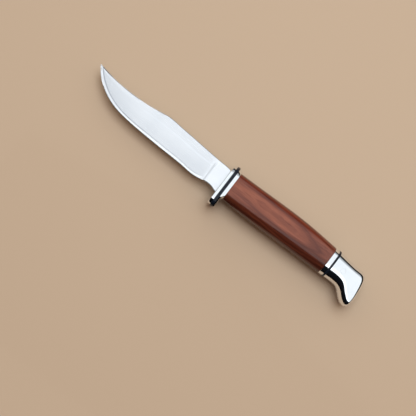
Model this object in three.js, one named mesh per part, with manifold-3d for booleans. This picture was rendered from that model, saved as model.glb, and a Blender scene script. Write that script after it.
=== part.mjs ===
// A small fixed-blade hunting knife: clip-point blade on a stick tang, two-plate guard round a black
// fibre washer, wooden handle, and a bird's-beak butt cap behind a second washer. It lies on its side.
//
// Knife frame, millimetres: X = 0 inside the guard washer and +X towards the butt,
// Y = 0 on the tang's centre line and +Y towards the back (the spine), Z = 0 in the blade's middle plane.
// The exported group moves that frame so that the origin is the bottom centre of the whole knife.

import * as THREE from 'three';
import { mergeVertices } from 'three/addons/utils/BufferGeometryUtils.js';
import Module from 'manifold-3d';

const wasm = await Module();
wasm.setup();

// ---------------------------------------------------------------- driving dimensions

const TIP = new THREE.Vector2(-100.2, 10.5);
const BUTT_X = 97.6;

// Where one piece ends and the next begins along the handle.
const GUARD_FRONT_X = -2.8;
const GUARD_WASHER_X = [-0.75, 0.95];
const HANDLE_X = [3.1, 72.3];
const REAR_WASHER_X = [75.0, 76.1];

const STOCK = 3.0;               // thickness of the blade steel
const SPINE_CHAMFER = 0.35;      // broken corners along the back of the blade
const SHOULDER_HALF = 0.38;      // half thickness where the hollow grind meets the edge bevel
const HOLLOW_DEPTH = 0.28;       // how far the hollow grind dips below a flat grind

const TANG_HEIGHT = [8.6, 5.2];  // at the guard, and at its end in the butt cap
const TANG_END_X = 88;
const FIT_GAP = 0.3;             // clearance between the tang, its bedding, the pin and their holes

const WASHER_HALF = 8.4;         // both washers stand this far out, and the knife lies on their rims
const GUARD_HALF = 8.1;
const CAP_HALF = 7.9;
const HANDLE_SLOT = { height: 10.6, width: 5.0 };
const BEDDING = { height: 10.0, width: 4.4 };
const PIN = { x: 82.5, y: -0.3, radius: 1.5 };

// ---------------------------------------------------------------- materials

const finish = (color, roughness, metalness) =>
  new THREE.MeshStandardMaterial({ color, roughness, metalness });

const STEEL = finish(0xd9dde0, 0.3, 1);
const ALUMINIUM = finish(0xe6e8ea, 0.12, 1);
const FIBRE = finish(0x15171a, 0.45, 0);
const ROSEWOOD = finish(0x8a4a35, 0.4, 0);
const EPOXY = finish(0x3a2c20, 0.5, 0);

// ---------------------------------------------------------------- helpers

// A closed solid from a row of loops with the same number of points, and an end cap on the first and last.
// Seen from ahead of the row, every loop runs clockwise.
function loft(loops) {
  const size = loops[0].length;
  const positions = loops.flat().flatMap((p) => [p.x, p.y, p.z]);
  const index = [];
  for (let row = 0; row + 1 < loops.length; row++) {
    for (let i = 0; i < size; i++) {
      const a = row * size + i;
      const b = row * size + ((i + 1) % size);
      index.push(a, b + size, b, a, a + size, b + size);
    }
  }
  const last = (loops.length - 1) * size;
  cap(loops[0]).forEach(([a, b, c]) => index.push(a, b, c));
  cap(loops.at(-1)).forEach(([a, b, c]) => index.push(last + a, last + c, last + b));
  const geometry = new THREE.BufferGeometry();
  geometry.setAttribute('position', new THREE.Float32BufferAttribute(positions, 3));
  geometry.setIndex(index);
  return geometry;
}

// Triangles that fill one flat loop, wound the way the loop runs.
function cap(loop) {
  const normal = new THREE.Vector3();
  loop.forEach((p, i) => normal.add(p.clone().cross(loop[(i + 1) % loop.length])));
  normal.normalize();
  const side = loop[1].clone().sub(loop[0]);
  side.addScaledVector(normal, -side.dot(normal)).normalize();
  const up = normal.clone().cross(side);
  const flat = loop.map((p) => new THREE.Vector2(p.dot(side), p.dot(up)));
  return THREE.ShapeUtils.triangulateShape(flat, []);
}

// A smooth height for any x, through a few [x, y] points in rising x.
function heightLine(points) {
  const line = new THREE.CubicInterpolant(points.map((p) => p[0]), points.map((p) => p[1]), 1);
  return (x) => line.evaluate(x)[0];
}

function solid(geometry) {
  const bare = new THREE.BufferGeometry();
  bare.setAttribute('position', geometry.getAttribute('position'));
  if (geometry.index) bare.setIndex(geometry.index);
  const merged = mergeVertices(bare, 1e-4);
  return new wasm.Manifold(new wasm.Mesh({
    numProp: 3,
    vertProperties: new Float32Array(merged.getAttribute('position').array),
    triVerts: new Uint32Array(merged.index.array),
  }));
}

function geometryOf(manifold) {
  const mesh = manifold.getMesh();
  const geometry = new THREE.BufferGeometry();
  geometry.setAttribute('position', new THREE.BufferAttribute(mesh.vertProperties, 3));
  geometry.setIndex(new THREE.BufferAttribute(mesh.triVerts, 1));
  return geometry;
}

// A box along X between two ends, its middle on the tang's centre line.
function boxAlong(fromX, toX, height, width) {
  const box = new THREE.BoxGeometry(toX - fromX, height, width);
  box.translate((fromX + toX) / 2, 0, 0);
  return solid(box);
}

// The section shared by the grip pieces, in a plane of constant x: a flattened oval. It is flat on both sides
// (z = +-half) from flat[0] to flat[1], and half an ellipse runs round each end, to y = high and y = low.
// A thinning above 1 draws the lower end in: at 2 it is a wedge with straight sides.
const ARC_STEPS = 6;

function gripSection(x, { low, high, flat, half, thinning = 1 }) {
  const points = [];
  for (const [end, flatEnd, turn, power] of [[high, flat[1], 1, 1], [low, flat[0], -1, thinning]]) {
    for (let i = -ARC_STEPS; i <= ARC_STEPS; i++) {
      const angle = (-turn * i * Math.PI) / (2 * ARC_STEPS);
      const reach = Math.max(Math.cos(angle), 0) ** power;
      const side = Math.sign(angle) * Math.abs(Math.sin(angle)) ** power;
      points.push(new THREE.Vector3(x, flatEnd + (end - flatEnd) * reach, half * side));
    }
  }
  return points;
}

// ---------------------------------------------------------------- blade

// Back and edge of the blade from the guard to the tip, as paired stations. Ribs join each pair.
const BACK = new THREE.SplineCurve([
  [-12.1, 7.75], [-22, 8.4], [-32, 9.1], [-42, 9.75], [-49.5, 10.15], [-55, 9.65], [-62, 8.65], [-70, 8.05],
  [-78, 8.0], [-86, 8.4], [-94, 9.35], TIP.toArray(),
].map(([x, y]) => new THREE.Vector2(x, y)));

const EDGE = new THREE.SplineCurve([
  [-12.1, -6.95], [-16.7, -7.95], [-28, -7.7], [-40, -7.4], [-51, -7.1], [-61, -6.7], [-70, -6.0],
  [-78, -4.7], [-85, -2.3], [-91.2, 1.2], [-96.5, 5.6], TIP.toArray(),
].map(([x, y]) => new THREE.Vector2(x, y)));

const BLADE_RIBS = 44;
const GRIND_TOP_SHARE = [0.33, 0.3];      // how far down the blade the hollow grind starts: plunge, tip
const BEVEL_WIDTH = [1.8, 2.5];           // edge bevel on the straight, and round the belly
const HOLLOW_POINTS = 3;
const EDGE_HALF = 0.05;
const TIP_STOP = 0.995;                   // the last rib stands this far along, just short of a point

const lerp = THREE.MathUtils.lerp;
const smooth = THREE.MathUtils.smoothstep;

// One side of a rib as [share of the way from the back to the edge, half thickness].
function ribProfile(u, height) {
  const half = (STOCK / 2) * lerp(1, 0.42, smooth(u, 0.35, 1)) * Math.min(1, height / 3 + 0.15);
  const chamfer = Math.min(SPINE_CHAMFER, half * 0.4);
  const top = lerp(...GRIND_TOP_SHARE, u);
  const bevel = Math.min(lerp(...BEVEL_WIDTH, smooth(u, 0.55, 0.8)), height * 0.28);
  const shoulder = 1 - bevel / height;
  const shoulderHalf = Math.min(SHOULDER_HALF, half * 0.5);
  const profile = [[0, half - chamfer], [Math.min(chamfer / height, 0.1), half], [top, half]];
  for (let i = 1; i <= HOLLOW_POINTS; i++) {
    const t = i / (HOLLOW_POINTS + 1);
    const dip = HOLLOW_DEPTH * (half / (STOCK / 2)) * 4 * t * (1 - t);
    profile.push([lerp(top, shoulder, t), lerp(half, shoulderHalf, t) - dip]);
  }
  profile.push([shoulder, shoulderHalf]);
  return profile;
}

function rib(back, edge, profile, edgeHalf) {
  const at = (share, z) => new THREE.Vector3(lerp(back.x, edge.x, share), lerp(back.y, edge.y, share), z);
  const near = profile.map(([share, z]) => at(share, z));
  const far = profile.map(([share, z]) => at(share, -z)).reverse();
  return [...near, at(1, edgeHalf), at(1, -edgeHalf), ...far];
}

// Full-thickness stations of the ricasso, the unground stretch behind the plunge: [x, high, low].
const RICASSO = [
  [GUARD_FRONT_X, 6.7, -8.1], [-3.5, 7.2, -8.0], [-4.8, 7.45, -7.6], [-6.4, 7.6, -7.05], [-8.6, 7.65, -6.75],
  [-10.6, 7.7, -6.8], [-12.0, 7.75, -6.95],
];

function bladeGeometry() {
  const corner = STOCK / 2 - SPINE_CHAMFER;
  const ribs = RICASSO.map(([x, high, low]) => {
    const profile = ribProfile(0, high - low).map(([share], i) => [share, i ? STOCK / 2 : corner]);
    return rib(new THREE.Vector2(x, high), new THREE.Vector2(x, low), profile, corner);
  });
  for (let i = 0; i <= BLADE_RIBS; i++) {
    const u = (i / BLADE_RIBS) * TIP_STOP;
    const back = BACK.getPoint(u);
    const edge = EDGE.getPoint(u);
    ribs.push(rib(back, edge, ribProfile(u, back.distanceTo(edge)), EDGE_HALF));
  }
  return loft(ribs);
}

function tangSolid(grow = 0) {
  const [front, back] = TANG_HEIGHT.map((height) => height / 2 + grow);
  const outline = new THREE.Shape([
    new THREE.Vector2(GUARD_FRONT_X - 1.5, -front), new THREE.Vector2(TANG_END_X + grow, -back),
    new THREE.Vector2(TANG_END_X + grow, back), new THREE.Vector2(GUARD_FRONT_X - 1.5, front),
  ]);
  const depth = STOCK + 2 * grow;
  const plate = new THREE.ExtrudeGeometry(outline, { depth, bevelEnabled: false });
  plate.translate(0, 0, -depth / 2);
  return solid(plate);
}

function pinSolid(radius, halfLength) {
  const sides = 24;
  const pin = new THREE.CylinderGeometry(radius, radius, 2 * halfLength, sides);
  pin.rotateX(Math.PI / 2);
  pin.translate(PIN.x, PIN.y, 0);
  return solid(pin);
}

const TANG_ROOM = tangSolid(FIT_GAP);
const PIN_ROOM = pinSolid(PIN.radius + FIT_GAP, 20);

const blade = () => solid(bladeGeometry()).add(tangSolid()).subtract(PIN_ROOM);

// ---------------------------------------------------------------- guard

const GUARD_OVAL = { low: -15.8, high: 11.3, flat: [-12.0, 5.1], half: GUARD_HALF };
const GUARD_WASHER = { low: -16.3, high: 11.6, flat: [-12.4, 5.3], half: WASHER_HALF };

function plate(fromX, toX, section) {
  return solid(loft([gripSection(fromX, section), gripSection(toX, section)]));
}

const guardPlate = () => plate(GUARD_FRONT_X, GUARD_WASHER_X[0], GUARD_OVAL).subtract(TANG_ROOM);
const guardWasher = () => plate(...GUARD_WASHER_X, GUARD_WASHER).subtract(TANG_ROOM);

// Behind the washer the guard is a thin quillon below, which sweeps back into a collar round the handle.
// Each step is [x, low, high, flat from, flat to, half, thinning].
const GUARD_COLLAR = [
  [GUARD_WASHER_X[1], -15.8, 11.3, -9.3, 5.1, GUARD_HALF, 1.5],
  [1.2, -15.8, 11.3, -9.2, 5.1, GUARD_HALF, 1.65],
  [1.5, -15.75, 11.3, -9.1, 5.1, GUARD_HALF, 1.75],
  [1.7, -15.5, 11.25, -9, 5.1, GUARD_HALF - 0.02, 1.75],
  [1.85, -14.9, 11.15, -8.9, 5.1, GUARD_HALF - 0.03, 1.75],
  [1.97, -13.8, 11.1, -8.7, 5.15, GUARD_HALF - 0.04, 1.75],
  [2.1, -12.2, 11.05, -8.4, 5.2, GUARD_HALF - 0.05, 1.65],
  [2.4, -10.8, 10.75, -8, 5.35, GUARD_HALF - 0.1, 1.45],
  [2.75, -9.9, 10.2, -7.6, 5.6, GUARD_HALF - 0.15, 1.2],
  [HANDLE_X[0], -9.3, 9.3, -7.2, 5.9, GUARD_HALF - 0.2, 1],
];

function guardCollar() {
  const loops = GUARD_COLLAR.map(([x, low, high, flatLow, flatHigh, half, thinning]) =>
    gripSection(x, { low, high, flat: [flatLow, flatHigh], half, thinning }));
  return solid(loft(loops)).subtract(TANG_ROOM);
}

// ---------------------------------------------------------------- handle

const HANDLE_BACK = heightLine([
  [3.1, 9.3], [12, 9.45], [24, 9.75], [40, 10.1], [52, 9.95], [62, 9.4], [72.3, 8.6],
]);
const HANDLE_BELLY = heightLine([
  [3.1, -9.3], [12, -9.6], [22, -9.75], [40, -9.45], [60, -9.1], [72.3, -9.0],
]);
const FLAT_BACK = heightLine([[3.1, 5.9], [30, 5.95], [50, 5.7], [62, 5.25], [72.3, 4.1]]);
const FLAT_BELLY = heightLine([[3.1, -4.6], [24, -3.2], [46, -2.0], [72.3, -0.6]]);
const HANDLE_HALF = heightLine([[3.1, 7.9], [20, 8.2], [40, 8.3], [60, 8.1], [72.3, CAP_HALF]]);
const HANDLE_STEPS = 18;
const HANDLE_EASE = 0.3;         // the ends are eased by this much

function handleSection(x, inset = 0) {
  return gripSection(x, {
    low: HANDLE_BELLY(x) + inset,
    high: HANDLE_BACK(x) - inset,
    flat: [FLAT_BELLY(x), FLAT_BACK(x)],
    half: HANDLE_HALF(x) - inset,
  });
}

function handle() {
  const [front, rear] = HANDLE_X;
  const loops = [handleSection(front, HANDLE_EASE)];
  for (let i = 0; i <= HANDLE_STEPS; i++) {
    loops.push(handleSection(lerp(front + HANDLE_EASE, rear - HANDLE_EASE, i / HANDLE_STEPS)));
  }
  loops.push(handleSection(rear, HANDLE_EASE));
  return solid(loft(loops)).subtract(boxAlong(front - 1, rear + 1, HANDLE_SLOT.height, HANDLE_SLOT.width));
}

const tangBedding = () =>
  boxAlong(HANDLE_X[0] + 0.2, HANDLE_X[1] - 0.2, BEDDING.height, BEDDING.width).subtract(TANG_ROOM);

// ---------------------------------------------------------------- butt

const REAR_COLLAR = { low: -8.95, high: 8.6, flat: [-0.6, 4.1], half: CAP_HALF };
const REAR_WASHER = { low: -9.2, high: 8.8, flat: [-0.6, 4.1], half: WASHER_HALF };

const rearCollar = () => plate(HANDLE_X[1], REAR_WASHER_X[0], REAR_COLLAR).subtract(TANG_ROOM);
const rearWasher = () => plate(...REAR_WASHER_X, REAR_WASHER).subtract(TANG_ROOM);

// The cap's outline where it is widest, the outline of its flat sides, and how far below the flat its rounded
// edge reaches, as stations that pair up. Below that depth its rim is straight.
const CAP_FRONT_X = REAR_WASHER_X[1];
const CAP_WIDE = [
  [CAP_FRONT_X, 8.75], [79.3, 8.3], [83.3, 7.8], [87.9, 7.3], [90.8, 7.1], [93.1, 6.7], [95.2, 5.2],
  [96.5, 2.5], [97.2, -1], [97.5, -5], [BUTT_X, -9], [97.3, -12.8], [96.6, -14.8], [95.2, -15.65],
  [93.2, -15.35], [91.1, -14.15], [88.9, -12.3], [86.7, -10.3], [85, -9.3], [82.7, -8.85],
  [CAP_FRONT_X, -8.9],
];
const CAP_FLAT = [
  [CAP_FRONT_X, 3.2], [79.3, 3], [83.1, 2.7], [87.2, 2.4], [89.8, 2.3], [91.8, 2.1], [93, 1.3], [93.7, 0],
  [94.3, -2.2], [95, -5.4], [95.5, -8.9], [95.5, -10.6], [95.2, -11.2], [94.8, -11.1], [94.3, -10.6],
  [93.4, -9.4], [91.8, -7.7], [90, -5.3], [87.8, -3.1], [84.6, -1.5], [CAP_FRONT_X, -0.6],
];
const CAP_EDGE_DEPTH = [
  7.7, 7.7, 7.7, 7.6, 7.2, 6.2, 5.2, 4.6, 4.4, 4.4, 4.4,
  4.8, 5.6, 6.4, 7, 7.4, 7.6, 7.7, 7.7, 7.7, 7.7,
];
const CAP_POINTS = 60;
const CAP_LEVELS = 5;            // steps of a quarter turn from the widest outline up to the flat

// A smooth curve through the stations, which runs once round the cap and leaves its front open.
function capOutline(stations, depths) {
  const curve = new THREE.CatmullRomCurve3(stations.map(([x, y], i) => new THREE.Vector3(x, y, depths[i])));
  return curve.getPoints(CAP_POINTS);
}

function buttCap() {
  const wide = capOutline(CAP_WIDE, CAP_EDGE_DEPTH);
  const flat = capOutline(CAP_FLAT, CAP_EDGE_DEPTH);
  const rising = [];
  for (let i = 0; i <= CAP_LEVELS; i++) {
    const angle = (i * Math.PI) / (2 * CAP_LEVELS);
    rising.push(wide.map((p, k) => {
      const q = flat[k].clone().lerp(p, Math.cos(angle));
      return new THREE.Vector3(Math.max(q.x, CAP_FRONT_X), q.y, CAP_HALF - p.z * (1 - Math.sin(angle)));
    }));
  }
  const falling = rising.map((loop) => loop.map((p) => new THREE.Vector3(p.x, p.y, -p.z))).reverse();
  return solid(loft([...falling, ...rising])).subtract(TANG_ROOM).subtract(PIN_ROOM);
}

const capPin = () => pinSolid(PIN.radius, CAP_HALF);

// ---------------------------------------------------------------- assembly

function piece(name, made, material) {
  const mesh = new THREE.Mesh(geometryOf(made), material);
  mesh.name = name;
  return mesh;
}

const knife = new THREE.Group();
knife.add(
  piece('blade', blade(), STEEL),
  piece('guard_plate', guardPlate(), ALUMINIUM),
  piece('guard_washer', guardWasher(), FIBRE),
  piece('guard_collar', guardCollar(), ALUMINIUM),
  piece('handle', handle(), ROSEWOOD),
  piece('tang_bedding', tangBedding(), EPOXY),
  piece('rear_collar', rearCollar(), ALUMINIUM),
  piece('rear_washer', rearWasher(), FIBRE),
  piece('butt_cap', buttCap(), ALUMINIUM),
  piece('cap_pin', capPin(), ALUMINIUM),
);

const box = new THREE.Box3().setFromObject(knife);
const middle = box.getCenter(new THREE.Vector3());
knife.position.set(-middle.x, -middle.y, -box.min.z);
knife.updateMatrixWorld(true);

export default knife;
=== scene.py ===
import math

import bmesh
import bpy
import numpy as np
from mathutils import Matrix, Vector

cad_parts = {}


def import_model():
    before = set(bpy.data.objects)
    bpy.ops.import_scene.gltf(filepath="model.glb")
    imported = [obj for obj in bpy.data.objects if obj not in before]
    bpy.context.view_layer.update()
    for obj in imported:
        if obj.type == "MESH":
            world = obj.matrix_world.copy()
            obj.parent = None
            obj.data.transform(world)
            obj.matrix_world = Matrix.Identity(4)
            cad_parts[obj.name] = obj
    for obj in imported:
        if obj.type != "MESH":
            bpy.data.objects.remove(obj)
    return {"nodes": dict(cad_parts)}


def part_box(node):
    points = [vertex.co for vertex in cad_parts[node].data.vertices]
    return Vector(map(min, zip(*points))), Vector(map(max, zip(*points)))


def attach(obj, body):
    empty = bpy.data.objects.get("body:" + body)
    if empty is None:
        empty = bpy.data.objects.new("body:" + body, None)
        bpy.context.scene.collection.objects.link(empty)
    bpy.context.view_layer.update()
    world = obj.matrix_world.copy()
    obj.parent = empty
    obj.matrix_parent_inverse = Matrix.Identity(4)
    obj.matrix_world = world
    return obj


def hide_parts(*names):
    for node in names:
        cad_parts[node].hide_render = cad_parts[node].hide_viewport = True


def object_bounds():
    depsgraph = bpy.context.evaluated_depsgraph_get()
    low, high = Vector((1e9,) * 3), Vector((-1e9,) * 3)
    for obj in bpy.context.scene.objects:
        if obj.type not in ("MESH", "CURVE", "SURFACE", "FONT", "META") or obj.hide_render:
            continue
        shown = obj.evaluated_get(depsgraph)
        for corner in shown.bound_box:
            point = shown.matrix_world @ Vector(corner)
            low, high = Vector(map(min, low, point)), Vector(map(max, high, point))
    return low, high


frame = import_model()
CAD_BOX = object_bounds()

# A small fixed-blade hunting knife that lies on its side. Sizes below are in millimetres in the knife's own
# frame: x = 0 inside the guard washer and +x to the butt, y = 0 on the tang's centre line and +y to the back
# of the blade, z = 0 in the blade's middle plane.

MM = 0.001
WASHER_FRONT_X = -0.75
WASHER_MIDDLE_Y = -2.35
lo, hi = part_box("guard_washer")
ORIGIN = np.array([
    lo.x - WASHER_FRONT_X * MM, (lo.y + hi.y) / 2 - WASHER_MIDDLE_Y * MM, (lo.z + hi.z) / 2])


def along(node):
    """A CAD node's two ends along x, in the knife's frame."""
    a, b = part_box(node)
    return [(v - ORIGIN[0]) / MM for v in (a.x, b.x)]


# ---------------------------------------------------------------- curves and meshes

TINY = 1e-9  # keeps stations apart that share a place


def curve_through(points):
    """A smooth (C2) curve through points of any dimension, as a function of the chord length in x and y, and
    the chord length at each point."""
    p = np.asarray(points, float)
    t = np.concatenate([[0], np.cumsum(np.linalg.norm(np.diff(p[:, :2], axis=0), axis=1) + TINY)])
    h = np.diff(t)
    m = len(p)
    a = np.zeros((m, m))
    r = np.zeros((m, p.shape[1]))
    a[0, 0] = a[-1, -1] = 1
    for i in range(1, m - 1):
        a[i, i - 1:i + 2] = h[i - 1], 2 * (h[i - 1] + h[i]), h[i]
        r[i] = 6 * ((p[i + 1] - p[i]) / h[i] - (p[i] - p[i - 1]) / h[i - 1])
    k = np.linalg.solve(a, r)

    def at(q):
        i = np.clip(np.searchsorted(t, q) - 1, 0, m - 2)
        w = ((q - t[i]) / h[i])[:, None]
        hh = h[i][:, None]
        u = 1 - w
        return (u * p[i] + w * p[i + 1]
                + ((u ** 3 - u) * k[i] + (w ** 3 - w) * k[i + 1]) * hh ** 2 / 6)

    return at, t


def spline(points, count):
    """count evenly spaced points on the curve through points."""
    at, length = curve_through(points)
    return at(np.linspace(0, length[-1], count))


def line(stations):
    """A smooth function of x through [x, y] stations."""
    s = np.asarray(stations, float)
    at, _ = curve_through(np.column_stack([s[:, 0], np.zeros(len(s)), s[:, 1]]))
    return lambda x: at(np.array([x - s[0, 0]]))[0, 2]


def smooth(t, a, b):
    """A smooth step from 0 at a to 1 at b."""
    t = np.clip((np.asarray(t, float) - a) / (b - a), 0, 1)
    return t * t * (3 - 2 * t)


def mix(a, b, t):
    return a + (b - a) * t


# Faces that turn by more than this many degrees meet in a sharp crease.
CREASE = 40
BLADE_CREASE = 20


def make(name, verts, faces, sharp=CREASE):
    """A mesh object from points in millimetres in the knife's frame."""
    mesh = bpy.data.meshes.new(name)
    mesh.from_pydata((np.asarray(verts) * MM + ORIGIN).tolist(), [], [list(map(int, f)) for f in faces])
    mesh.validate()
    mesh.update()
    obj = bpy.data.objects.new(name, mesh)
    bpy.context.scene.collection.objects.link(obj)
    shade(obj, sharp)
    return obj


def shade(obj, sharp=CREASE):
    """Faces pointing out, smooth, and creased where they turn by more than sharp degrees."""
    bm = bmesh.new()
    bm.from_mesh(obj.data)
    bmesh.ops.recalc_face_normals(bm, faces=bm.faces)
    bm.to_mesh(obj.data)
    bm.free()
    obj.data.shade_smooth()
    obj.data.set_sharp_from_angle(angle=math.radians(sharp))


def strips(rows, size, wrap_rows=False):
    """Quads between closed rows of size points each."""
    faces = []
    for r in range(rows if wrap_rows else rows - 1):
        a, b = r * size, ((r + 1) % rows) * size
        for i in range(size):
            j = (i + 1) % size
            faces.append((a + i, a + j, b + j, b + i))
    return faces


def ring(name, loops):
    """A closed body from loops that run round and come back to the first one."""
    loops = np.asarray(loops)
    return make(name, loops.reshape(-1, 3), strips(len(loops), loops.shape[1], wrap_rows=True))


def stack(name, loops, sharp=CREASE):
    """A closed body from loops that follow each other, with a cap on the first and the last."""
    loops = np.asarray(loops)
    rows, size = loops.shape[:2]
    faces = strips(rows, size)
    faces.append(tuple(range(size)))
    faces.append(tuple(range((rows - 1) * size, rows * size)))
    return make(name, loops.reshape(-1, 3), faces, sharp)


def apply_modifiers(obj):
    """Fix obj's modifiers in its mesh, which keeps its name."""
    graph = bpy.context.evaluated_depsgraph_get()
    mesh = bpy.data.meshes.new_from_object(obj.evaluated_get(graph))
    obj.modifiers.clear()
    old, obj.data = obj.data, mesh
    name = old.name
    bpy.data.meshes.remove(old)
    mesh.name = name


def cut(obj, *tools):
    """Take the tools away from obj, and remove them."""
    for tool in tools:
        m = obj.modifiers.new("cut", "BOOLEAN")
        m.operation = "DIFFERENCE"
        m.solver = "EXACT"
        m.object = tool
    apply_modifiers(obj)
    shade(obj)
    for tool in tools:
        bpy.data.objects.remove(tool)


def box_piece(name, x0, x1, heights, widths):
    """A closed tapered box along x, for a cutter: heights and widths at its two ends."""
    verts = []
    for x, h, w in ((x0, heights[0], widths[0]), (x1, heights[1], widths[1])):
        verts += [(x, -h / 2, -w / 2), (x, h / 2, -w / 2), (x, h / 2, w / 2), (x, -h / 2, w / 2)]
    faces = [(0, 1, 2, 3), (7, 6, 5, 4)] + [(i, i + 4, (i + 1) % 4 + 4, (i + 1) % 4) for i in range(4)]
    return make(name, verts, faces)


# ---------------------------------------------------------------- sections of the grip pieces

ARC = 60              # steps in a quarter turn of a section
OUTLINE_POINTS = 220  # round a plate
EDGE_STEPS = 6        # across a rounded rim
SQUARENESS = 8        # power of the slots' rounded corners


def section(low, high, flat, half, count, inset=0.0, thinning=1.0):
    """A flattened oval as [y, z] points: flat sides, and half an ellipse round each end. A thinning above 1
    draws the lower end in, to a wedge with straight sides at 2."""
    turn = np.linspace(-math.pi / 2, math.pi / 2, 2 * ARC + 1)
    half -= inset
    top = np.column_stack([flat[1] + (high - inset - flat[1]) * np.cos(turn), -half * np.sin(turn)])
    reach = np.maximum(np.cos(turn), 0) ** thinning
    side = np.sign(turn) * np.abs(np.sin(turn)) ** thinning
    bottom = np.column_stack([flat[0] + (low + inset - flat[0]) * reach, half * side])
    p = np.vstack([top, bottom, top[:1]])
    d = np.concatenate([[0], np.cumsum(np.linalg.norm(np.diff(p, axis=0), axis=1))])
    q = np.linspace(0, d[-1], count, endpoint=False)
    return np.column_stack([np.interp(q, d, p[:, c]) for c in (0, 1)])


def slot_loop(height, width, like):
    """A rounded rectangle whose points lie in the same directions as those of the outline like."""
    a = np.arctan2(like[:, 1] / np.abs(like[:, 1]).max(), like[:, 0] / np.abs(like[:, 0]).max())
    c, s = np.cos(a), np.sin(a)
    r = (np.abs(c) ** SQUARENESS + np.abs(s) ** SQUARENESS) ** (-1 / SQUARENESS)
    return np.column_stack([r * c * height / 2, r * s * width / 2])


def at_x(x, loop):
    """A [y, z] loop as [x, y, z] points."""
    return np.column_stack([np.full(len(loop), x), loop])


def slotted(name, outlines, x0, x1, slot):
    """A closed body from outlines along x, from x0 to x1, with a slot of that height and width through it."""
    inner = slot_loop(*slot, outlines[0][:, 1:])
    return ring(name, outlines + [at_x(x1, inner), at_x(x0, inner)])


# The tang's height at the guard and at its end, the blade's thickness, and the room round the tang.
TANG_H = (8.6, 5.2)
STOCK = 3.0
FIT = 0.3
SLOT = (TANG_H[0] + 2 * FIT, STOCK + 2 * FIT)


def plate(name, node, sec, rims):
    """A flat plate of the given section, with a slot for the tang. rims are the radii of its front and rear
    rims."""
    x0, x1 = along(node)
    outlines = []
    for x, sign, rim in ((x0, 1, rims[0]), (x1, -1, rims[1])):
        for a in np.linspace(0, math.pi / 2, EDGE_STEPS)[::sign]:
            loop = section(count=OUTLINE_POINTS, inset=rim * (1 - math.sin(a)), **sec)
            outlines.append(at_x(x + sign * rim * (1 - math.cos(a)), loop))
    return slotted(name, outlines, x0, x1, SLOT)


# Radii of the rims.
EASED = 0.15
GUARD_FRONT_RIM = 0.7
REAR_WASHER_RIM = 0.12

GUARD_SEC = dict(low=-15.8, high=11.3, flat=(-12.0, 5.1), half=8.1)
WASHER_SEC = dict(low=-16.3, high=11.6, flat=(-12.4, 5.3), half=8.4)
REAR_COLLAR_SEC = dict(low=-8.95, high=8.6, flat=(-0.6, 4.1), half=7.9)
REAR_WASHER_SEC = dict(low=-9.2, high=8.8, flat=(-0.6, 4.1), half=8.4)

guard_plate = plate("guard_front_plate", "guard_plate", GUARD_SEC, (GUARD_FRONT_RIM, EASED))
guard_washer = plate("guard_black_washer", "guard_washer", WASHER_SEC, (EASED, EASED))
rear_collar = plate("rear_metal_collar", "rear_collar", REAR_COLLAR_SEC, (EASED, EASED))
rear_washer = plate("rear_black_washer", "rear_washer", REAR_WASHER_SEC, (REAR_WASHER_RIM, REAR_WASHER_RIM))

# The rear half of the guard: a thin quillon that sweeps back into a collar. Each row is x, low, high, the
# flat's two ends, half, thinning.
COLLAR = np.array([
    [0.95, -15.8, 11.3, -9.3, 5.1, 8.1, 1.5],
    [1.2, -15.8, 11.3, -9.2, 5.1, 8.1, 1.65],
    [1.5, -15.75, 11.3, -9.1, 5.1, 8.1, 1.75],
    [1.7, -15.5, 11.25, -9, 5.1, 8.08, 1.75],
    [1.85, -14.9, 11.15, -8.9, 5.1, 8.07, 1.75],
    [1.97, -13.8, 11.1, -8.7, 5.15, 8.06, 1.75],
    [2.1, -12.2, 11.05, -8.4, 5.2, 8.05, 1.65],
    [2.4, -10.8, 10.75, -8, 5.35, 8, 1.45],
    [2.75, -9.9, 10.2, -7.6, 5.6, 7.95, 1.2],
    [3.1, -9.3, 9.3, -7.2, 5.9, 7.9, 1],
])
COLLAR_ROWS = 60


def collar_piece():
    x0, x1 = along("guard_collar")
    rows = spline(COLLAR, COLLAR_ROWS)
    rows[:, 0] = np.clip(rows[:, 0], x0, x1)
    outlines = []
    for x, low, high, flat_low, flat_high, half, thinning in rows:
        ease = EASED * max(0.0, 1 - (x - x0) / EASED) ** 2
        loop = section(low, high, (flat_low, flat_high), half, OUTLINE_POINTS, ease, thinning)
        outlines.append(at_x(x, loop))
    return slotted("guard_rear_plate", outlines, x0, x1, SLOT)


guard_collar = collar_piece()

# ---------------------------------------------------------------- handle

BACK_LINE = line([(3.1, 9.3), (12, 9.45), (24, 9.75), (40, 10.1), (52, 9.95), (62, 9.4), (72.3, 8.6)])
BELLY_LINE = line([(3.1, -9.3), (12, -9.6), (22, -9.75), (40, -9.45), (60, -9.1), (72.3, -9.0)])
FLAT_BACK = line([(3.1, 5.9), (30, 5.95), (50, 5.7), (62, 5.25), (72.3, 4.1)])
FLAT_BELLY = line([(3.1, -4.6), (24, -3.2), (46, -2.0), (72.3, -0.6)])
HANDLE_HALF = line([(3.1, 7.9), (20, 8.2), (40, 8.3), (60, 8.1), (72.3, 7.9)])
HANDLE_SLOT = (10.6, 5.0)
HANDLE_POINTS = 240
FRONT_EASE, REAR_EASE = 0.2, 0.3              # radii of the rims
FRONT_STEPS, LENGTH_STEPS, REAR_STEPS = 8, 90, 12


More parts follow.
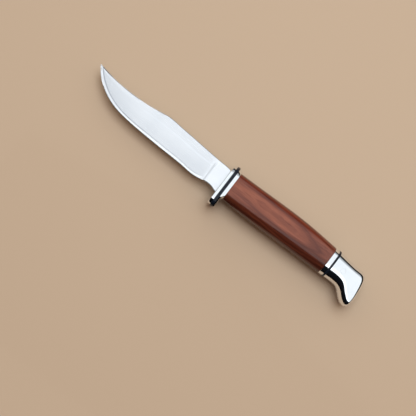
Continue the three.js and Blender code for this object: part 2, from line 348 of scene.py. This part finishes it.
def handle_piece():
    x0, x1 = along("handle")
    stations = [(x0 + FRONT_EASE * (1 - math.cos(a)), FRONT_EASE * (1 - math.sin(a)))
                for a in np.linspace(0, math.pi / 2, FRONT_STEPS)]
    stations += [(x, 0) for x in np.linspace(x0 + FRONT_EASE, x1 - REAR_EASE, LENGTH_STEPS)[1:-1]]
    stations += [(x1 - REAR_EASE * (1 - math.cos(a)), REAR_EASE * (1 - math.sin(a)))
                 for a in np.linspace(math.pi / 2, 0, REAR_STEPS)]
    outlines = [
        at_x(x, section(BELLY_LINE(x), BACK_LINE(x), (FLAT_BELLY(x), FLAT_BACK(x)), HANDLE_HALF(x),
                        HANDLE_POINTS, inset))
        for x, inset in stations]
    return slotted("wooden_handle", outlines, x0, x1, HANDLE_SLOT)


handle = handle_piece()

# ---------------------------------------------------------------- blade

GUARD_FACE_X = -2.8
PLUNGE_X = -12.1
TIP = (-100.2, 10.5)
# From the plunge to the tip, in stations that pair up.
BACK = [
    (PLUNGE_X, 7.75), (-22, 8.4), (-32, 9.1), (-42, 9.75), (-49.5, 10.15), (-55, 9.65), (-62, 8.65),
    (-70, 8.05), (-78, 8.0), (-86, 8.4), (-94, 9.35), TIP,
]
EDGE = [
    (PLUNGE_X, -6.95), (-16.7, -7.95), (-28, -7.7), (-40, -7.4), (-51, -7.1), (-61, -6.7), (-70, -6.0),
    (-78, -4.7), (-85, -2.3), (-91.2, 1.2), (-96.5, 5.6), TIP,
]
# From the guard to the plunge: x, back, belly.
RICASSO = [
    (GUARD_FACE_X, 6.7, -8.1), (-3.5, 7.2, -8.0), (-4.8, 7.45, -7.6), (-6.4, 7.6, -7.05), (-8.6, 7.65, -6.75),
    (-10.6, 7.7, -6.8), (PLUNGE_X, 7.75, -6.95),
]
TANG_END = 88.0
HALF = STOCK / 2
TIP_TAPER = 0.42     # the thickness at the tip, as a share of the stock
HOLLOW = 0.28        # the hollow grind's depth below a flat one
GRIND_TOP = (0.2, 0.14)      # share of the height above the grind, at the plunge and at the tip
GRIND_EASE = 0.16    # share of the grind over which its top line is rounded
BEVEL_HEIGHT = (1.55, 2.1)   # of the edge bevel, along the straight edge and towards the tip
SHOULDER_HALF = 0.42  # half thickness below the shoulder above the edge
SHOULDER_STEP = 0.1   # and the step there
BEVEL_AT = (0, 0.22, 0.85, 1)  # share of the way down the edge bevel
BEVEL_Z = (SHOULDER_HALF + SHOULDER_STEP, 0.38, 0.2, 0.04)  # half thickness there
EDGE_HALF = 0.04
PLUNGE_STEP = 0.3    # depth of the short steep step at the plunge
PLUNGE_REACH = (8.0, 3.5)    # length of the slope after it, near the back and near the edge
CORNER_WIDTH = (0.3, 0.65)   # of the broken corner, along the back and along the clip
CORNER_DEPTH = (0.24, 0.6)
RICASSO_CORNER = 0.3
RICASSO_STATIONS, PLUNGE_STATIONS, FACE_STATIONS = 40, 60, 320
PLUNGE_END = 0.05     # share of the way to the tip
LAST_STATION = 0.994  # the same, where the point is blunted


def follow(points, share):
    """Points on the curve through points, at shares of the way counted in stations."""
    at, length = curve_through(points)
    return at(np.interp(share * (len(points) - 1), np.arange(len(points)), length))


def blade_stations():
    """From the guard to the tip: a point of the back, the point of the edge across from it, the distance past
    the plunge, and the share of the way from the plunge to the tip."""
    share = np.concatenate([
        np.linspace(0, PLUNGE_END, PLUNGE_STATIONS)[:-1],
        np.linspace(PLUNGE_END, LAST_STATION, FACE_STATIONS)])
    stations = []
    for x, high, low in spline(RICASSO, RICASSO_STATIONS)[:-1]:
        stations.append(((x, high), (x, low), PLUNGE_X - x, 0.0))
    for back, edge, w in zip(follow(BACK, share), follow(EDGE, share), share):
        stations.append((back, edge, PLUNGE_X - edge[0], w))
    return stations


def grind(v, height, w):
    """The shoulder above the edge bevel, as a share of the height, and how far down the grind each v is."""
    top = mix(*GRIND_TOP, w)
    bevel = min(mix(*BEVEL_HEIGHT, smooth(w, 0.55, 0.85)), height * 0.28)
    shoulder = 1 - bevel / height
    return shoulder, np.clip((v - top) / (shoulder - top), 0, 1)


def half_thickness(v, height, past, w):
    """The blade's half thickness at shares v of the way from the back to the edge, at one station."""
    taper = mix(1, TIP_TAPER, smooth(w, 0.35, 1)) * min(1.0, height / 3 + 0.15)
    half = HALF * taper
    shoulder, t = grind(v, height, w)
    shoulder_half = min(SHOULDER_HALF, half * 0.5)
    soft = np.where(t < GRIND_EASE, t * t / (2 * GRIND_EASE), t - GRIND_EASE / 2) / (1 - GRIND_EASE / 2)
    hollow = HOLLOW * taper * 4 * soft * (1 - soft) * smooth(t, 0, 0.25)
    ground = mix(half, shoulder_half + SHOULDER_STEP, soft) - hollow
    # A short steep step at the shoulder, the edge bevel, and the very edge, which is turned over a little.
    bevel_half = np.interp((v - shoulder) / (1 - shoulder), BEVEL_AT, BEVEL_Z) * shoulder_half / SHOULDER_HALF
    ground = np.where(v > shoulder, bevel_half, ground)
    # The plunge, where the grind runs out in front of the ricasso: a short steep step and a long slope.
    drop = half - ground
    step = np.minimum(drop, PLUNGE_STEP)
    reach = mix(*PLUNGE_REACH, smooth(v, 0.1, shoulder))
    body = half - step * smooth(past, 0, 0.8) - (drop - step) * smooth(past, 0.3, reach)
    # The broken corner along the back, wider on the clip.
    d = v * height
    clip = smooth(w, 0.36, 0.44)
    deep = min(mix(*CORNER_DEPTH, clip), half * 0.72)
    z = np.maximum(body - deep * np.clip(1 - d / mix(*CORNER_WIDTH, clip), 0, 1), EDGE_HALF)
    # The ricasso's broken lower corner.
    low = np.clip(1 - (height - d) / RICASSO_CORNER, 0, 1)
    return z - RICASSO_CORNER * low * (1 - smooth(past, 0, 0.6))


# Greys of the grind, from 0, bright, to 1. The plunge line, the line above the edge bevel and the grey
# towards the point are painted shade; the broad face tone is the satin grind's own grey.
PLUNGE_SHADE = 0.42
EDGE_LINE_SHADE = (0.3, 0.6)       # at the plunge and towards the tip
LINE_ABOVE_EDGE = (1.6, 1.75)
FACE_TONE, TIP_SHADE, LOW_TONE = 0.19, 0.2, 0.12


def grind_shades_and_tones(v, height, past, w):
    """How grey the steel is: painted shade as a line at the plunge and one above the edge bevel, and broad
    tones on the face, the satin grind's grey with painted shade towards the point.
    """
    up = height - v * height
    _, t = grind(v, height, w)
    plunge = PLUNGE_SHADE * math.exp(-(((past - 0.1) / 0.5) ** 2)) * smooth(v, 0.1, 0.3)
    above = up - mix(*LINE_ABOVE_EDGE, smooth(w, 0.5, 0.8))
    edge_line = mix(*EDGE_LINE_SHADE, smooth(w, 0.05, 0.6)) * np.exp(-((above / 0.4) ** 2)) * smooth(past, 2, 5)
    face = up > LINE_ABOVE_EDGE[0]
    broad = FACE_TONE * smooth(past, 0, 2) + TIP_SHADE * smooth(w, 0.4, 0.95) * smooth(t, 0, 0.3)
    low = LOW_TONE * smooth(v, 0.4, 0.8) * smooth(past, 0, 4)
    broad = broad * np.where(face, 1.0, 0.3) + low * face
    return np.clip(np.maximum(plunge, edge_line + broad), 0, 1)


def blade_piece():
    # Shares of the way from the back to the edge, closest at the back's corner and above the edge.
    v = np.concatenate([
        np.linspace(0, 0.04, 5)[:-1], np.linspace(0.04, 0.8, 34)[:-1], np.linspace(0.8, 1, 40)])

    def both_sides(x, y, z):
        near = np.column_stack([x, y, z])
        return np.vstack([near, (near * (1, 1, -1))[::-1]])

    # The tang, from its end to the guard's face.
    loops = []
    for x, h in ((TANG_END, TANG_H[1] - 0.6), (TANG_END - 0.01, TANG_H[1]), (GUARD_FACE_X + 0.01, TANG_H[0]),
                 (GUARD_FACE_X, TANG_H[0])):
        loops.append(both_sides(np.full(len(v), x), mix(h / 2, -h / 2, v), np.full(len(v), HALF)))
    tones = [np.zeros(2 * len(v))] * len(loops)
    for back, edge, past, w in blade_stations():
        height = math.hypot(edge[0] - back[0], edge[1] - back[1])
        z = half_thickness(v, height, past, w)
        loops.append(both_sides(mix(back[0], edge[0], v), mix(back[1], edge[1], v), z))
        # Per station: painted shade at the plunge, along the line above the edge and towards the point, over
        # the satin grind's grey.
        tone = grind_shades_and_tones(v, height, past, w)
        tones.append(np.concatenate([tone, tone[::-1]]))
    obj = stack("clip_point_blade", loops, BLADE_CREASE)
    attribute = obj.data.attributes.new("grind_shade_and_tone", "FLOAT", "POINT")
    attribute.data.foreach_set("value", np.concatenate(tones))
    return obj


blade = blade_piece()

# ---------------------------------------------------------------- butt cap and pin

CAP_FRONT = 76.1
CAP_REAR = 97.6
CAP_HALF = 7.9
CAP_POINTS = 260  # round the outline
CAP_LEVELS = 30   # from the widest outline up to the flat
# The widest outline (in the blade's plane), the outline of the flat sides, and how far below the flat the
# rounded edge reaches, as stations that pair up.
CAP_WIDE = [
    (CAP_FRONT, 8.75), (79.3, 8.3), (83.3, 7.8), (87.9, 7.3), (90.8, 7.1), (93.1, 6.7), (95.2, 5.2),
    (96.5, 2.5), (97.2, -1), (97.5, -5), (CAP_REAR, -9), (97.3, -12.8), (96.6, -14.8), (95.2, -15.65),
    (93.2, -15.35), (91.1, -14.15), (88.9, -12.3), (86.7, -10.3), (85, -9.3), (82.7, -8.85),
    (CAP_FRONT, -8.9),
]
CAP_FLAT = [
    (CAP_FRONT, 3.2), (79.3, 3), (83.1, 2.7), (87.2, 2.4), (89.8, 2.3), (91.8, 2.1), (93, 1.3), (93.7, 0),
    (94.3, -2.2), (95, -5.4), (95.5, -8.9), (95.5, -10.6), (95.2, -11.2), (94.8, -11.1), (94.3, -10.6),
    (93.4, -9.4), (91.8, -7.7), (90, -5.3), (87.8, -3.1), (84.6, -1.5), (CAP_FRONT, -0.6),
]
CAP_EDGE_DEPTH = [
    7.7, 7.7, 7.7, 7.6, 7.2, 6.2, 5.2, 4.6, 4.4, 4.4, 4.4, 4.8, 5.6, 6.4, 7, 7.4, 7.6, 7.7, 7.7, 7.7, 7.7,
]


def cap_piece():
    both = spline(np.column_stack([CAP_WIDE, CAP_FLAT, CAP_EDGE_DEPTH]), CAP_POINTS)
    wide, flat, depth = both[:, :2], both[:, 2:4], both[:, 4]
    rising = []
    for turn in np.linspace(0, math.pi / 2, CAP_LEVELS + 1):
        xy = flat + (wide - flat) * math.cos(turn)
        xy[:, 0] = np.clip(xy[:, 0], CAP_FRONT, CAP_REAR)
        xy[0, 0] = xy[-1, 0] = CAP_FRONT
        rising.append(np.column_stack([xy, CAP_HALF - depth * (1 - math.sin(turn))]))
    return stack("beak_butt_cap", [loop * (1, 1, -1) for loop in rising[::-1]] + rising)


cap = cap_piece()
PIN_X, PIN_Y, PIN_R = 82.5, -0.3, 1.5
PIN_STEPS = 64
PIN_CHAMFER = 0.03
PIN_SUNK = 0.01      # below the cap's flat
PIN_ROOM = 0.05      # round the pin in the tang
PIN_PRESS = 0.02     # and in the cap
CUTTER_HALF = 10     # a pin hole's cutter passes through the whole cap
CUTTER_CHAMFER = 0.1
TANG_WAY_H = (TANG_H[1] + 1.6, TANG_H[1] + 2 * FIT)  # the cap's slot, at its mouth and at its end


def lathe_z(name, profile):
    """A closed turned piece about the pin's axis; profile is [radius, z] from the axis to the axis."""
    verts, faces = [(PIN_X, PIN_Y, profile[0][1])], []
    inner = profile[1:-1]
    for r, z in inner:
        for i in range(PIN_STEPS):
            a = 2 * math.pi * i / PIN_STEPS
            verts.append((PIN_X + r * math.cos(a), PIN_Y + r * math.sin(a), z))
    verts.append((PIN_X, PIN_Y, profile[-1][1]))
    for i in range(PIN_STEPS):
        faces.append((0, 1 + i, 1 + (i + 1) % PIN_STEPS))
        a = 1 + (len(inner) - 1) * PIN_STEPS
        faces.append((a + (i + 1) % PIN_STEPS, a + i, len(verts) - 1))
    faces += [tuple(1 + k for k in f) for f in strips(len(inner), PIN_STEPS)]
    return make(name, verts, faces)


def pin_profile(r, top, chamfer):
    """Half the outline of a pin whose ends are at -top and top."""
    end = [(0, top), (r - chamfer, top), (r, top - chamfer)]
    return [(x, -z) for x, z in end] + end[::-1]


cut(blade, lathe_z("pin_way", pin_profile(PIN_R + PIN_ROOM, CUTTER_HALF, CUTTER_CHAMFER)))
cut(cap,
    box_piece("tang_way", CAP_FRONT - 2, TANG_END + FIT, TANG_WAY_H, (SLOT[1], SLOT[1])),
    lathe_z("pin_way", pin_profile(PIN_R + PIN_PRESS, CUTTER_HALF, CUTTER_CHAMFER)))
pin = lathe_z("butt_cap_pin", pin_profile(PIN_R, CAP_HALF - PIN_SUNK, PIN_CHAMFER))

# ---------------------------------------------------------------- materials


class Nodes:
    """A small helper to write node materials."""

    def __init__(self, name):
        self.mat = bpy.data.materials.new(name)
        self.mat.use_nodes = True
        self.tree = self.mat.node_tree
        self.bsdf = self.tree.nodes["Principled BSDF"]

    def add(self, kind, **inputs):
        node = self.tree.nodes.new(kind)
        for key, value in inputs.items():
            if key[0].islower() and hasattr(node, key):
                setattr(node, key, value)
                continue
            self.put(node.inputs[key.replace("_", " ")], value)
        return node

    def put(self, socket, value):
        if isinstance(value, bpy.types.NodeSocket):
            self.tree.links.new(value, socket)
        else:
            socket.default_value = value

    def coords(self, scale=(1, 1, 1)):
        tex = self.add("ShaderNodeTexCoord")
        return self.add("ShaderNodeMapping", Vector=tex.outputs["Object"], Scale=scale).outputs[0]

    def noise(self, vector, scale, detail=4.0, rough=0.5):
        n = self.add("ShaderNodeTexNoise", Vector=vector, Scale=scale, Detail=detail, Roughness=rough)
        return n.outputs["Fac"]

    def ramp(self, fac, stops):
        n = self.add("ShaderNodeValToRGB")
        self.put(n.inputs["Fac"], fac)
        e = n.color_ramp.elements
        while len(e) > 1:
            e.remove(e[-1])
        e[0].position, e[0].color = stops[0][0], rgba(stops[0][1])
        for pos, col in stops[1:]:
            e.new(pos).color = rgba(col)
        return n.outputs["Color"]

    def scale(self, fac, lo, hi, a=0.0, b=1.0):
        """fac from the range a to b, moved to the range lo to hi."""
        n = self.add("ShaderNodeMapRange")
        limits = {"Value": fac, "From Min": a, "From Max": b, "To Min": lo, "To Max": hi}
        for key, value in limits.items():
            self.put(n.inputs[key], value)
        return n.outputs["Result"]

    def blend(self, fac, a, b, mode="MIX"):
        n = self.add("ShaderNodeMix", data_type="RGBA", blend_type=mode)
        for socket, value in ((n.inputs[0], fac), (n.inputs[6], a), (n.inputs[7], b)):
            self.put(socket, rgba(value) if isinstance(value, tuple) else value)
        return n.outputs[2]

    def multiply_add(self, value, factor, addend):
        n = self.add("ShaderNodeMath", operation="MULTIPLY_ADD")
        for socket, given in zip(n.inputs, (value, factor, addend)):
            self.put(socket, given)
        return n.outputs[0]

    def bump(self, height, strength, distance):
        n = self.add("ShaderNodeBump", Height=height, Strength=strength, Distance=distance)
        return n.outputs["Normal"]

    def set(self, **inputs):
        """Fill the shader's sockets, and return the material."""
        for key, value in inputs.items():
            self.put(self.bsdf.inputs[key.replace("_", " ")], value)
        return self.mat


def rgba(c):
    return (*c, 1)


# Where the wood's figure has its middle, and how fast its bands follow each other along each axis.
FIGURE_MIDDLE = tuple(ORIGIN + np.array([30.0, 1.0, 0.0]) * MM)
FIGURE_PACE = (17, 130, 60)
WOOD_TONES = [(0.36, (0.105, 0.032, 0.021)), (0.5, (0.172, 0.055, 0.033)), (0.64, (0.25, 0.086, 0.05))]
WOOD_PORES = (0.07, 0.017, 0.01)
# Painted shade: these multipliers darken the wood's belly, its rear end and its spine.
BELLY_SHADE = (0.42, 0.3, 0.25)
REAR_SHADE = (0.72, 0.74, 0.8)
SPINE_SHADE = (0.52, 0.26, 0.16)
# The grey that the grind's painted shade and satin tone blend the steel towards.
GROUND_GREY_AND_SHADE = (0.36, 0.38, 0.41)


def steel_material():
    """Bright steel with a small diffuse share; its grind attribute paints shade as grey at the plunge, along
    the line above the edge and towards the point, over the satin grind's own grey."""
    n = Nodes("satin_steel")
    # Painted shade of the grind, together with the satin grind's grey, read from the blade's attribute.
    tone = n.add("ShaderNodeAttribute", attribute_name="grind_shade_and_tone").outputs["Fac"]
    lines = n.noise(n.coords((60, 1.5, 20)), 120, detail=6, rough=0.7)
    cloud = n.noise(n.coords(), 60)
    satin = n.ramp(cloud, [(0.35, (0.82, 0.85, 0.88)), (0.65, (0.88, 0.905, 0.93))])
    return n.set(
        Base_Color=n.blend(tone, satin, GROUND_GREY_AND_SHADE), Metallic=0.85,
        Roughness=n.scale(lines, 0.13, 0.2, 0.3, 0.7), Normal=n.bump(lines, 0.1, 0.00002))


def polished_material():
    n = Nodes("polished_aluminium")
    fine = n.noise(n.coords((1, 5, 1)), 900, detail=5, rough=0.7)
    cloud = n.noise(n.coords(), 120, detail=3)
    return n.set(
        Base_Color=n.ramp(cloud, [(0.3, (0.87, 0.90, 0.92)), (0.7, (0.92, 0.94, 0.955))]),
        Metallic=1.0, Roughness=n.scale(fine, 0.05, 0.12, 0.3, 0.7),
        Normal=n.bump(fine, 0.05, 0.00001))


def fibre_material():
    n = Nodes("black_fibre")
    fine = n.noise(n.coords(), 700)
    return n.set(
        Base_Color=n.ramp(fine, [(0.3, (0.003, 0.005, 0.010)), (0.7, (0.007, 0.011, 0.019))]),
        Roughness=n.scale(fine, 0.2, 0.32, 0.3, 0.7), Specular_IOR_Level=0.3,
        Normal=n.bump(fine, 0.08, 0.00002))


def wood_material():
    """Plain-sawn rosewood: nested pointed figures on the flats, fine grain, and painted shade that leaves the
    flats paler than the belly, the rear end and the spine.
    """
    n = Nodes("rosewood")
    grain = n.noise(n.coords((0.06, 1, 1)), 1500, detail=7, rough=0.7)
    cloud = n.noise(n.coords((0.4, 1, 1)), 70)
    streak = n.noise(n.coords((0.12, 1, 1)), 260, rough=0.6)
    # Distance from a point on the flat, long along the handle: its bands are the figure.
    place = n.add("ShaderNodeVectorMath", operation="SUBTRACT")
    n.put(place.inputs[0], n.add("ShaderNodeTexCoord").outputs["Object"])
    place.inputs[1].default_value = FIGURE_MIDDLE
    paced = n.add("ShaderNodeMapping", Vector=place.outputs[0], Scale=FIGURE_PACE)
    rings = n.add("ShaderNodeVectorMath", operation="LENGTH")
    n.put(rings.inputs[0], paced.outputs[0])
    wavy = n.multiply_add(cloud, 0.5, rings.outputs["Value"])
    figure = n.add("ShaderNodeTexNoise", noise_dimensions="1D", W=wavy, Scale=5.5, Detail=3.0)
    tone = n.blend(0.4, figure.outputs["Fac"], streak)
    base = n.ramp(tone, WOOD_TONES)
    grained = n.blend(n.scale(grain, 0, 0.8, 0.5, 0.68), base, WOOD_PORES)
    # Painted shade: the belly, the rear end and the spine are darker and redder than the flats. The flat's
    # lower limit
    #     rises towards the rear, and the belly's painted shade follows it.
    x, y, _ = n.add("ShaderNodeSeparateXYZ", Vector=place.outputs[0]).outputs
    belly_shade_mask = n.multiply_add(x, -0.055, y)
    color = n.blend(n.scale(belly_shade_mask, 0, 1, -0.0035, -0.0065), grained, BELLY_SHADE, "MULTIPLY")
    color = n.blend(n.scale(x, 0, 1, 0.018, 0.047), color, REAR_SHADE, "MULTIPLY")
    color = n.blend(n.scale(y, 0, 1, 0.0036, 0.0055), color, SPINE_SHADE, "MULTIPLY")
    return n.set(
        Base_Color=color, Roughness=n.scale(grain, 0.15, 0.24, 0.3, 0.7), Specular_IOR_Level=0.4,
        Normal=n.bump(grain, 0.08, 0.00003))


def resin_material():
    n = Nodes("bedding_resin")
    fine = n.noise(n.coords(), 400)
    return n.set(
        Base_Color=n.ramp(fine, [(0.3, (0.03, 0.02, 0.012)), (0.7, (0.06, 0.04, 0.025))]),
        Roughness=n.scale(fine, 0.4, 0.6))


STEEL, POLISHED, FIBRE, WOOD, RESIN = (
    steel_material(), polished_material(), fibre_material(), wood_material(), resin_material())

PIECES = [
    (blade, "blade", "blade_steel", STEEL),
    (guard_plate, "guard_plate", "polished_metal", POLISHED),
    (guard_washer, "guard_washer", "black_fibre", FIBRE),
    (guard_collar, "guard_collar", "polished_metal", POLISHED),
    (handle, "handle", "handle_wood", WOOD),
    (rear_collar, "rear_collar", "polished_metal", POLISHED),
    (rear_washer, "rear_washer", "black_fibre", FIBRE),
    (cap, "butt_cap", "polished_metal", POLISHED),
    (pin, "cap_pin", "polished_metal", POLISHED),
]
for obj, node, slot, material in PIECES:
    obj.data.materials.clear()
    obj.data.materials.append(material)
    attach(obj, "root")
    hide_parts(node)

bedding = frame["nodes"]["tang_bedding"]
bedding.data.materials.clear()
bedding.data.materials.append(RESIN)

# ---------------------------------------------------------------- floor, light and camera

FLOOR_SIZE = 2.0  # metres from the middle to each side


def floor_piece():
    s = FLOOR_SIZE
    mesh = bpy.data.meshes.new("floor")
    mesh.from_pydata([(-s, -s, 0), (s, -s, 0), (s, s, 0), (-s, s, 0)], [], [(0, 1, 2, 3)])
    mesh.materials.append(Nodes("floor").set(
        Base_Color=(0.40, 0.33, 0.25, 1), Roughness=0.7, Specular_IOR_Level=0.25))
    obj = bpy.data.objects.new("floor", mesh)
    bpy.context.scene.collection.objects.link(obj)


floor_piece()
middle = Vector(((CAD_BOX[0].x + CAD_BOX[1].x) / 2, (CAD_BOX[0].y + CAD_BOX[1].y) / 2, 0))


def softbox(name, place, size, power, color):
    """A square soft light at place, seen from the knife's middle, that metal doesn't mirror."""
    data = bpy.data.lights.new(name, "AREA")
    data.shape = "RECTANGLE"
    data.size = data.size_y = size
    data.energy = power
    data.color = color
    obj = bpy.data.objects.new(name, data)
    bpy.context.scene.collection.objects.link(obj)
    obj.location = middle + Vector(place)
    obj.rotation_euler = (middle - obj.location).to_track_quat("-Z", "Y").to_euler()
    obj.visible_camera = obj.visible_glossy = False


KEY_PLACE = (0.0, 0.28, 0.86)
KEY_SIZE = 0.6
KEY_WATTS = 6.5
KEY_COLOR = (0.97, 1.0, 1.03)
softbox("key", KEY_PLACE, KEY_SIZE, KEY_WATTS, KEY_COLOR)

# The card's outline and its lower and upper side, in metres. It reaches in beside the quillon.
CARD = [
    (-0.11, -0.045), (-0.01, -0.027), (0.003, -0.0205), (0.0042, -0.0135), (0.011, -0.0135), (0.018, -0.022),
    (0.05, -0.037), (0.16, -0.055), (0.16, -0.15), (-0.11, -0.15),
]
CARD_HEIGHTS = (0.001, 0.02)


def flag():
    """A black card beside the knife that only reflections see, for polished metal to mirror."""
    n = len(CARD)
    faces = [tuple(range(n)), tuple(range(n, 2 * n))[::-1]]
    faces += [(i + n, i, (i + 1) % n, (i + 1) % n + n) for i in range(n)]
    mesh = bpy.data.meshes.new("flag")
    mesh.from_pydata([(x, y, z) for z in CARD_HEIGHTS for x, y in CARD], [], faces)
    mesh.materials.append(Nodes("flag_black").set(
        Base_Color=(0.004, 0.004, 0.005, 1), Roughness=0.9, Specular_IOR_Level=0.0))
    obj = bpy.data.objects.new("flag", mesh)
    bpy.context.scene.collection.objects.link(obj)
    obj.visible_camera = obj.visible_diffuse = obj.visible_shadow = False


flag()

CEILING = (1.0, 1.04, 1.08)
DARK = (0.003, 0.0035, 0.0045)
FILL_BACK_SIDE = (1.0, 0.85, 0.71)
FILL_EDGE_SIDE = (1.0, 0.42, 0.17)
WALL = (0.70, 0.68, 0.65)


def world():
    """What the metal mirrors is a bright ceiling over a dark horizon. The ceiling ends high on the edge's
    side and fades towards the back's side. A warm fill, weaker from the edge's side, lights the rest, and
    the camera sees a pale wall."""
    w = bpy.data.worlds.new("studio")
    bpy.context.scene.world = w
    w.use_nodes = True
    tree = w.node_tree

    def add(kind, *values):
        node = tree.nodes.new(kind)
        for socket, value in zip(node.inputs, values):
            if isinstance(value, bpy.types.NodeSocket):
                tree.links.new(value, socket)
            elif value is not None:
                socket.default_value = value
        return node

    def edge(value, *limits):
        """A smooth step between the first two limits, from 0 to 1 or from the third limit to the fourth."""
        node = add("ShaderNodeMapRange", value, *limits)
        node.interpolation_type = "SMOOTHSTEP"
        return node.outputs[0]

    def combine(operation, *values):
        node = add("ShaderNodeMath", *values)
        node.operation = operation
        return node.outputs[0]

    def mixed(share, first, second):
        node = tree.nodes.new("ShaderNodeMix")
        node.data_type = "RGBA"
        tree.links.new(share, node.inputs[0])
        node.inputs[6].default_value = rgba(first)
        node.inputs[7].default_value = rgba(second)
        return node.outputs[2]

    # x, y and z are a direction: +x to the butt, +y to the back's side, +z up.
    x, y, z = add("ShaderNodeSeparateXYZ", add("ShaderNodeTexCoord").outputs["Generated"]).outputs
    slant = combine("MULTIPLY_ADD", z, 0.81, y)
    rise = combine("MULTIPLY_ADD", combine("MAXIMUM", x, 0.0), -0.3, z)
    lit = combine("MULTIPLY", edge(rise, 0.30, 0.46), edge(slant, -0.05, 0.05))
    lit = combine("MULTIPLY", lit, edge(y, 0.4, 0.75, 1.0, 0.42))
    studio = add("ShaderNodeBackground", mixed(lit, DARK, CEILING), edge(y, -0.15, -0.55, 1.0, 1.6))
    warmth = mixed(edge(y, -0.5, 0.5), FILL_EDGE_SIDE, FILL_BACK_SIDE)
    fill = add("ShaderNodeBackground", warmth, edge(y, -0.5, 0.5, 0.18, 1.3))
    pale = add("ShaderNodeBackground", rgba(WALL))
    rays = add("ShaderNodeLightPath").outputs
    join = add("ShaderNodeMixShader", rays["Is Diffuse Ray"], studio.outputs[0], fill.outputs[0])
    join = add("ShaderNodeMixShader", rays["Is Camera Ray"], join.outputs[0], pale.outputs[0])
    tree.links.new(join.outputs[0], tree.nodes["World Output"].inputs["Surface"])


world()
view = bpy.context.scene.view_settings
view.view_transform = "Standard"
view.look = "None"
view.exposure = 0.0

# The camera looks almost straight down, from a little to the edge's side, and turned so that the knife lies
# from the upper left to the lower right. It stands DISTANCE away, where its view is VIEW_WIDTH wide, and its
# axis passes through AXIS_POINT in the blade's middle plane, as that plane tilts with it.
DISTANCE = 490.0
TILT = math.radians(4.5)
TURN = math.radians(37.5)
VIEW_WIDTH = 240.0
AXIS_POINT = (-0.29, -18.0)
SENSOR = 36.0


def camera():
    data = bpy.data.cameras.new("camera")
    obj = bpy.data.objects.new("camera", data)
    bpy.context.scene.collection.objects.link(obj)
    data.sensor_width = SENSOR
    data.lens = SENSOR * DISTANCE / VIEW_WIDTH
    data.clip_start, data.clip_end = 0.01, 20
    c, s = math.cos(TILT), math.sin(TILT)
    tilt = Matrix(((1, 0, 0), (0, c, -s), (0, s, c)))
    place = tilt @ Vector((*AXIS_POINT, DISTANCE)) * MM
    right = tilt @ Vector((math.cos(TURN), math.sin(TURN), 0))
    up = tilt @ Vector((-math.sin(TURN), math.cos(TURN), 0))
    back = right.cross(up)
    turn = Matrix((right, up, back)).transposed()
    obj.matrix_world = Matrix.Translation(Vector(ORIGIN) + place) @ turn.to_4x4()
    bpy.context.scene.camera = obj


camera()
